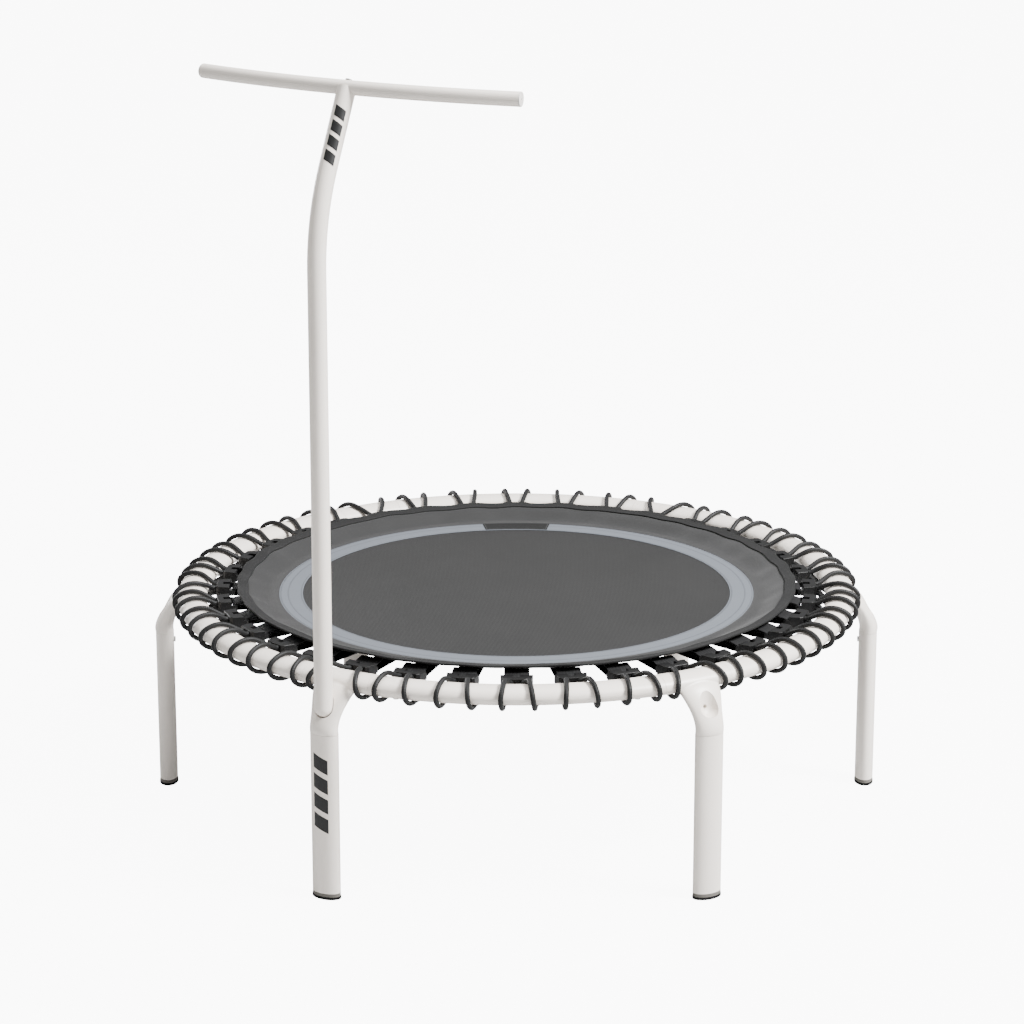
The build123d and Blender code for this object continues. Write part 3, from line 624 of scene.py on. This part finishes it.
def label_piece(outer, width, top):
    """Blank black patch on the band at the back: a bent plate with a stitched border."""
    middle = outer - width / 2
    half = LABEL_HALF / middle
    angles = np.linspace(math.pi / 2 - half, math.pi / 2 + half, 48)
    path = np.stack([middle * np.cos(angles), middle * np.sin(angles), np.full(48, top + 0.00035)], -1)
    side = np.stack([np.cos(angles), np.sin(angles), np.zeros(48)], -1)
    outline = densify(rounded_box(LABEL_WIDTH, 0.0006, 0.00025), 0.003)
    f = Finish("label_cloth", IOR=1.5, Specular_IOR_Level=0.15)
    x, y, _ = f.xyz()
    radius = (x * x + y * y).math("SQRT") - middle
    along = (y.math("ARCTAN2", x) - math.pi / 2) * middle
    weave = ribs(x + y, 0.0012) * ribs(x - y, 0.0012)
    edge_r = radius.math("ABSOLUTE")
    edge_a = along.math("ABSOLUTE")
    rows = edge_r.band(0.0148, 0.0156, 0.0004) * edge_a.band(-1.0, 0.0545, 0.0005)
    ends = edge_a.band(0.0537, 0.0545, 0.0004) * edge_r.band(-1.0, 0.0156, 0.0005)
    dash = (ribs(along, 0.004) * ribs(radius, 0.004)).math("GREATER_THAN", 0.12)
    thread = rows.math("MAXIMUM", ends) * dash
    dark = (0.010, 0.010, 0.010)
    cloth = f.tint(shade(dark, 0.7), shade(dark, 1.7), weave)
    f.set(Base_Color=f.tint(cloth, (0.07, 0.07, 0.07), thread), Roughness=0.8 - weave * 0.1)
    f.bump(weave * 0.3 + thread, 0.0002)
    label = many_swept("label_patch", [(path, outline, side)], f.material)
    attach(label, "mat")
    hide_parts("mat_label")


def flutter(azimuths):
    """Uneven puckers round the skirt: three waves tied to the clips and two slow ones, from 0 to 1."""
    count = sizes().clips
    a = azimuths
    wave = (0.42 * np.cos(count * a) + 0.24 * np.cos(count / 2 * a + 0.7) + 0.19 * np.sin(count / 4 * a + 2.0)
            + 0.15 * np.sin(7 * a + 0.4))
    return 0.5 + 0.5 * wave


def skirt_lift(profile, azimuths, end):
    """Puckers on the skirt and hem: the flutter raises them more and more towards the edge, each strap
    pulls them outwards, and soft lumps of uneven length lie across the middle of the width."""
    s = sizes()
    a = azimuths[:, None]
    width = np.clip((profile[:, 0] - s.mat_radius) / (end - s.mat_radius), 0, 1)[None]
    lumps = (np.sin(11 * a + 3 * width + 1.1) + np.sin(19 * a - 2 * width + 0.3)
             + 0.8 * np.sin(31 * a + 2 * width + 2.2) + 0.35 * np.sin(53 * a - 2 * width))
    middle = np.sin(math.pi * width ** 0.8) ** 2
    up = flutter(azimuths)[:, None] * width ** 1.4 * 0.0036 + lumps * middle * 0.00085
    pull = np.cos(s.clips * a) * width ** 1.5 * 0.0012
    return np.stack([pull, up], -1)


class TRAMPOLINE_OT_skirt(bpy.types.Operator):
    """Skirt that rises from the mat's edge to a folded hem, puckered where the straps pull it."""
    bl_idname = "trampoline.skirt"
    bl_label = "Skirt and hem"

    def execute(self, context):
        """A closed profile turned round: a dip outside the mat, a rise to the hem and a rolled edge. The
        puckers add the flutter to the height, more and more towards the hem."""
        s = sizes()
        knots_r = s.mat_radius + np.array([-0.0048, 0.0, 0.006, 0.014, 0.024, 0.034, 0.042, 0.046])
        knots_z = s.mat_top + np.array([0.0006, 0.0009, 0.0003, 0.0005, 0.0046, 0.0098, 0.0128, 0.0138])
        radius = np.linspace(knots_r[0], knots_r[-1], 26)
        height = soften(np.interp(radius, knots_r, knots_z), 1.6)
        thick = 0.0014
        line = np.stack([radius, height], -1)
        profile = np.concatenate([line + [0, thick / 2], (line - [0, thick / 2])[::-1]])
        end = knots_r[-1] + s.hem_width

        cloth = cloth_finish("skirt_cloth", tuple(colours().skirt), 0.0030, light=1.45, dark=0.7, sheen=0.06,
                             gloss=0.3)
        skirt = ring_surface("skirt_cloth", profile[::-1], 720, cloth,
                             lambda a: skirt_lift(profile, a, end)[:, ::-1])
        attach(skirt, "mat")
        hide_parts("skirt")
        hem = self.hem(s, knots_r[-1], knots_z[-1], end)
        return {"FINISHED"}

    def hem(self, s, start, height, end):
        """Folded edge: a flat rounded tube of cloth with a corded outer rim and a welt where it is sewn."""
        mid, half = (start + end) / 2, s.hem_width / 2
        outline = rounded_box(s.hem_width, 0.0026, 0.0011, 4)
        slope = 0.0022 / s.hem_width
        place = densify(outline, 0.0025)
        rim = np.exp(-((place[:, 0] - half * 0.80) / 0.0022) ** 2) * np.sign(place[:, 1]) * 0.0005
        welt = np.exp(-((place[:, 0] + half * 0.95) / 0.0012) ** 2) * np.sign(place[:, 1]) * 0.0007
        profile = np.stack([place[:, 0] + mid, place[:, 1] + rim + welt + height + 0.0011
                            + slope * (place[:, 0] + half)], -1)

        cloth = cloth_finish("hem_cloth", tuple(colours().skirt), 0.0030, light=1.1, dark=0.72, sheen=0.02,
                             stitches=((0.0024, 1.5),))
        hem = ring_surface("hem_cloth", profile[::-1], 720, cloth,
                           lambda a: skirt_lift(profile, a, end)[:, ::-1])
        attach(hem, "mat")
        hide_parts("skirt_hem")
        return hem


class TRAMPOLINE_OT_straps(bpy.types.Operator):
    """Webbing straps that hold the clips."""
    bl_idname = "trampoline.straps"
    bl_label = "Straps"

    def execute(self, context):
        """Each strap runs from under the mat out to the clip's bar, round it and back up under the hem."""
        s = sizes()
        bar = s.clip_nose - 0.031
        radii = np.array([s.mat_radius - 0.016, s.mat_radius, s.mat_radius + 0.03, bar - 0.004, bar + 0.0015,
                          bar + 0.0052, bar + 0.0060, bar + 0.0052, bar + 0.001, bar - 0.006, bar - 0.014,
                          bar - 0.020])
        heights = np.array([0.3356, 0.3356, 0.3352, 0.3341, 0.3339, 0.3355, 0.3390, 0.3426, 0.3440, 0.3458,
                            0.3478, 0.3484])
        steps = np.linspace(0, len(radii) - 1, 60)
        base = np.arange(len(radii))
        path = np.stack([soften(np.interp(steps, base, radii), 1.6), np.zeros(60),
                         soften(np.interp(steps, base, heights), 1.6)], -1)
        outline = densify(rounded_box(STRAP_WIDTH, STRAP_THICK, 0.0005), 0.02)
        side = np.tile([0.0, 1.0, 0.0], (60, 1))
        spins = [k * TURN / s.clips for k in range(s.clips)]
        bars = [(spin(path, a), outline, spin(side, a)) for a in spins]
        straps = many_swept("strap_webbing", bars, webbing_finish())
        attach(straps, "mat")
        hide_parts("clip_straps")
        return {"FINISHED"}


class TRAMPOLINE_OT_clips(bpy.types.Operator):
    """Moulded clips."""
    bl_idname = "trampoline.clips"
    bl_label = "Clips"

    def execute(self, context):
        """Finishes the clips' CAD nodes."""
        dress(numbered("bungee_clips"), plain_finish("clip_plastic", tuple(colours().plastic), 0.42,
                                                     relief=0.00008, spread=0.3, gloss=0.22))
        return {"FINISHED"}


def wrap_line():
    """Centre line of one turn in a radial plane, as radius and height: a straight run from the top hole,
    a flat arc over the tube, a tight arc round it, a flat arc under it and a straight run to the low hole."""
    s = sizes()
    r = s.cord_radius
    long_half, short_half = (half + r + CORD_STAND_OFF for half in RING_HALF)
    tight = CORD_TIGHT
    tight_x = long_half - tight
    flat_y = (tight_x ** 2 - (short_half - tight) ** 2) / (2 * (short_half - tight))
    flat = short_half + flat_y
    join = math.atan2(flat_y, tight_x)
    mouth = s.clip_nose + CORD_MOUTH - s.ring_radius
    top, low = (height - s.ring_height for height in HOLE_HEIGHTS)

    def leave(height):
        """Angle where the straight run from the hole's mouth meets the flat arc."""
        reach = math.hypot(mouth, height + flat_y)
        return math.atan2(height + flat_y, mouth) - math.acos(flat / reach)

    over = np.linspace(leave(top), join, 24)
    around = np.linspace(join, -join, 28)[1:-1]
    under = np.linspace(-join, -leave(-low), 24)
    arcs = np.concatenate([
        np.stack([flat * np.cos(over), flat * np.sin(over) - flat_y], -1),
        np.stack([tight_x + tight * np.cos(around), tight * np.sin(around)], -1),
        np.stack([flat * np.cos(under), flat * np.sin(under) + flat_y], -1)])
    deep = mouth - CORD_HIDDEN
    line = np.concatenate([[[deep, top], [mouth, top]], arcs, [[mouth, low], [deep, low]]])
    return line + [s.ring_radius, s.ring_height]


def even(points, step):
    """Points spaced evenly along a line."""
    length = np.concatenate([[0], np.cumsum(np.linalg.norm(np.diff(points, axis=0), axis=1))])
    places = np.linspace(0, length[-1], max(3, int(length[-1] / step)))
    return np.stack([np.interp(places, length, points[:, i]) for i in range(points.shape[1])], -1)


def cord_line(side, ring_angle):
    """One turn in space: the wrap line, with its azimuth led from the top hole to the ring and on to the
    next hole along. The azimuth follows the length and is then smoothed, as a taut cord takes its corners."""
    s = sizes()
    rz = even(wrap_line(), 0.0016)
    length = np.concatenate([[0], np.cumsum(np.linalg.norm(np.diff(rz, axis=0), axis=1))])
    outer = length[rz[:, 0].argmax()]
    touch = s.ring_radius - 0.0125
    top_touch = length[np.flatnonzero(rz[:, 0] > touch)[0]]
    low_touch = length[np.flatnonzero(rz[:, 0] > touch)[-1]]
    hole = HOLE_ASIDE / s.clip_nose
    pitch = 0.0 if side < 0 else TURN / s.clips
    start, ring, end = side * hole, side * ring_angle, pitch - side * hole
    lead_in = start + (ring - start) * 0.55
    lead_out = ring + (end - ring) * 0.10
    knots = np.array([0, 0.0085, top_touch, outer, low_touch, length[-1] - 0.0085, length[-1]])
    azimuth = np.interp(length, knots, [start, start, lead_in, ring, lead_out, end, end])
    azimuth = soften(azimuth, 2.4)
    rz = np.stack([soften(rz[:, 0], 1.2), soften(rz[:, 1], 1.2)], -1)
    return np.stack([rz[:, 0] * np.cos(azimuth), rz[:, 0] * np.sin(azimuth), rz[:, 1]], -1)


class TRAMPOLINE_OT_cord(bpy.types.Operator):
    """Bungee cord laced round the ring and through the clips."""
    bl_idname = "trampoline.cord"
    bl_label = "Bungee cord"

    def execute(self, context):
        """Two turns at each clip, led from the clip's two holes round the ring tube, each set at its clip's own
        azimuth.
        """
        s = sizes()
        material = cord_finish()
        angles = np.arange(12) * TURN / 12
        outline = np.stack([np.cos(angles), np.sin(angles)], -1) * s.cord_radius
        free, at_leg = (math.radians(a) for a in TURN_AZIMUTH)
        turns = {angle: [cord_line(side, angle) for side in (-1, 1)] for angle in (free, at_leg)}
        per_leg = s.clips // 6
        for k in range(s.clips):
            spot = k * TURN / s.clips
            bars = []
            for path in turns[at_leg if k % per_leg == 0 else free]:
                line = spin(path, spot)
                side = np.stack([-line[:, 1], line[:, 0], np.zeros(len(line))], -1)
                side /= np.linalg.norm(side, axis=1, keepdims=True)
                bars.append((line, outline, side))
            piece = many_swept(f"cord_turns_{k + 1:02d}", bars, material)
            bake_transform(piece)
            if k % per_leg == 0:
                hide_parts(f"bungee_cord_{k // per_leg + 1}")
        return {"FINISHED"}


def patch(name, surface, bars, material, body):
    """Slanted bars on a curved face: each bar is (low height, high height, left, right, slant); the face
    is a function of across and height, and each bar is a grid on it with a slim edge."""
    verts, faces, first = [], [], 0
    for low, high, left, right, slant in bars:
        v, u = np.meshgrid(np.linspace(0, 1, 14), np.linspace(0, 1, 14), indexing="ij")
        across = left + (right - left) * u
        height = low + (high - low) * v + slant * (across - left)
        outer = surface(across, height, 0.00022).reshape(-1, 3)
        inner = surface(across, height, -0.00004).reshape(-1, 3)
        quads = grid_faces(14, 14)[0]
        rim = np.concatenate([np.arange(14), np.arange(1, 14) * 14 + 13, 13 * 14 + np.arange(12, -1, -1),
                              np.arange(12, 0, -1) * 14])
        after = np.roll(rim, -1)
        wall = np.stack([rim, rim + 196, after + 196, after], -1)
        verts += [outer, inner]
        faces += (np.concatenate([quads, quads[:, ::-1] + 196, wall]) + first).tolist()
        first += 392
    piece = put_mesh(name, np.concatenate(verts), faces, None, material, smooth=False)
    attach(piece, body)
    return piece


class TRAMPOLINE_OT_marks(bpy.types.Operator):
    """Plain slanted bars on the front left leg and on the handle's pole."""
    bl_idname = "trampoline.marks"
    bl_label = "Slanted bars"

    def execute(self, context):
        """The leg's face is an oval round an upright line; the pole's is a circle round its leaning run."""
        ink = plain_finish("mark_print", tuple(colours().mark), 0.5, relief=0.00002, gloss=0.3)
        out = np.array([math.cos(HANDLE_AZIMUTH), math.sin(HANDLE_AZIMUTH), 0.0])
        around = np.array([-out[1], out[0], 0.0])

        def leg_face(across, height, lift):
            """Point on the leg's oval at a distance across and a height."""
            angle = across / 0.0232
            r = (LEG_RADIUS + (LEG_HALF[0] + lift) * np.cos(angle))[..., None]
            t = ((LEG_HALF[1] + lift) * np.sin(angle))[..., None]
            return r * out + t * around + height[..., None] * np.array([0, 0, 1.0])

        leg_bars = [(0.1195 + i * 0.0318, 0.1425 + i * 0.0318, -0.0115, 0.0135, -0.42) for i in range(4)]
        patch("leg_marks", leg_face, leg_bars, ink, "frame")
        sin_lean, cos_lean = math.sin(POLE_LEAN), math.cos(POLE_LEAN)
        along = -sin_lean * out + [0, 0, cos_lean]
        bend_top = ((POLE_RADIUS - POLE_BEND * (1 - cos_lean)) * out
                    + [0, 0, POLE_BEND_START + POLE_BEND * sin_lean])
        face = np.array([-0.10, -1.0, 0.0])
        face = face - (face @ along) * along
        face /= np.linalg.norm(face)
        flank = np.cross(along, face)

        def pole_face(across, height, lift):
            """Point on the pole's leaning run at a distance across and along it."""
            angle = across / POLE_HALF
            r = POLE_HALF + lift
            return (bend_top + height[..., None] * along + (r * np.cos(angle))[..., None] * face
                    - (r * np.sin(angle))[..., None] * flank)

        pole_bars = [(0.0006 + i * 0.0226, 0.0170 + i * 0.0226, -0.0090, 0.0085, 0.45) for i in range(4)]
        patch("pole_marks", pole_face, pole_bars, ink, "frame")
        return {"FINISHED"}


class TRAMPOLINE_OT_stage(bpy.types.Operator):
    """Pale floor, soft studio light and the camera."""
    bl_idname = "trampoline.stage"
    bl_label = "Stage"

    def execute(self, context):
        """A large flat floor, a white surround, one broad key light and a top light."""
        scene = context.scene
        half = 14.0
        corners = [(-half, -half, 0), (half, -half, 0), (half, half, 0), (-half, half, 0)]
        floor = put_mesh("studio_floor", corners, [[0, 1, 2, 3]], None, floor_finish(), smooth=False)
        world = bpy.data.worlds.new("studio_surround")
        world.use_nodes = True
        world.node_tree.nodes["Background"].inputs[0].default_value = (1, 1, 1, 1)
        world.node_tree.nodes["Background"].inputs[1].default_value = 0.55
        scene.world = world
        for name, place, aim, wide, tall, power in (
                ("key_light", (3.8, -1.6, 4.6), (0, 0, 0.4), 1.8, 1.8, 1350.0),
                ("top_light", (-0.4, 0.6, 4.5), (0, 0, 0.3), 3.0, 3.0, 160.0),
                ("back_light", (-3.2, 3.6, 1.5), (0, 0, 0.4), 2.2, 1.6, 130.0)):
            light = bpy.data.lights.new(name, "AREA")
            light.shape = "RECTANGLE"
            light.size = wide
            light.size_y = tall
            light.energy = power
            lamp = bpy.data.objects.new(name, light)
            lamp.location = place
            lamp.rotation_euler = (Vector(aim) - Vector(place)).to_track_quat("-Z", "Y").to_euler()
            scene.collection.objects.link(lamp)
        camera = bpy.data.cameras.new("camera")
        camera.lens = 118.4
        camera.sensor_width = 36.0
        view = bpy.data.objects.new("camera", camera)
        view.location = (-0.0073, -5.3452, 1.9953)
        view.rotation_euler = (math.radians(74.092), 0, 0)
        scene.collection.objects.link(view)
        scene.camera = view
        return {"FINISHED"}


class TRAMPOLINE_PT_panel(bpy.types.Panel):
    """Steps that dress the trampoline."""
    bl_idname = "TRAMPOLINE_PT_panel"
    bl_label = "Mini trampoline"
    bl_space_type = "VIEW_3D"
    bl_region_type = "UI"
    bl_category = "Trampoline"

    def draw(self, context):
        """Lists the steps, the sizes and the colours."""
        for step in STEPS:
            self.layout.operator(step.bl_idname)
        for group in (context.scene.trampoline_sizes, context.scene.trampoline_colours):
            box = self.layout.box()
            for key in group.__annotations__:
                box.prop(group, key)


STEPS = (TRAMPOLINE_OT_frame, TRAMPOLINE_OT_fittings, TRAMPOLINE_OT_straps, TRAMPOLINE_OT_mat, TRAMPOLINE_OT_band,
         TRAMPOLINE_OT_skirt, TRAMPOLINE_OT_clips, TRAMPOLINE_OT_cord, TRAMPOLINE_OT_marks, TRAMPOLINE_OT_stage)
CLASSES = (TRAMPOLINE_PG_sizes, TRAMPOLINE_PG_colours, *STEPS, TRAMPOLINE_PT_panel)


def register():
    """Adds the classes and the two groups of settings."""
    for item in CLASSES:
        bpy.utils.register_class(item)
    bpy.types.Scene.trampoline_sizes = bpy.props.PointerProperty(type=TRAMPOLINE_PG_sizes)
    bpy.types.Scene.trampoline_colours = bpy.props.PointerProperty(type=TRAMPOLINE_PG_colours)


def unregister():
    """Takes them away again."""
    del bpy.types.Scene.trampoline_sizes
    del bpy.types.Scene.trampoline_colours
    for item in reversed(CLASSES):
        bpy.utils.unregister_class(item)


def main():
    """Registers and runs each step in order."""
    register()
    for step in STEPS:
        group, name = step.bl_idname.split(".")
        getattr(getattr(bpy.ops, group), name)()


if __name__ == "__main__":
    main()
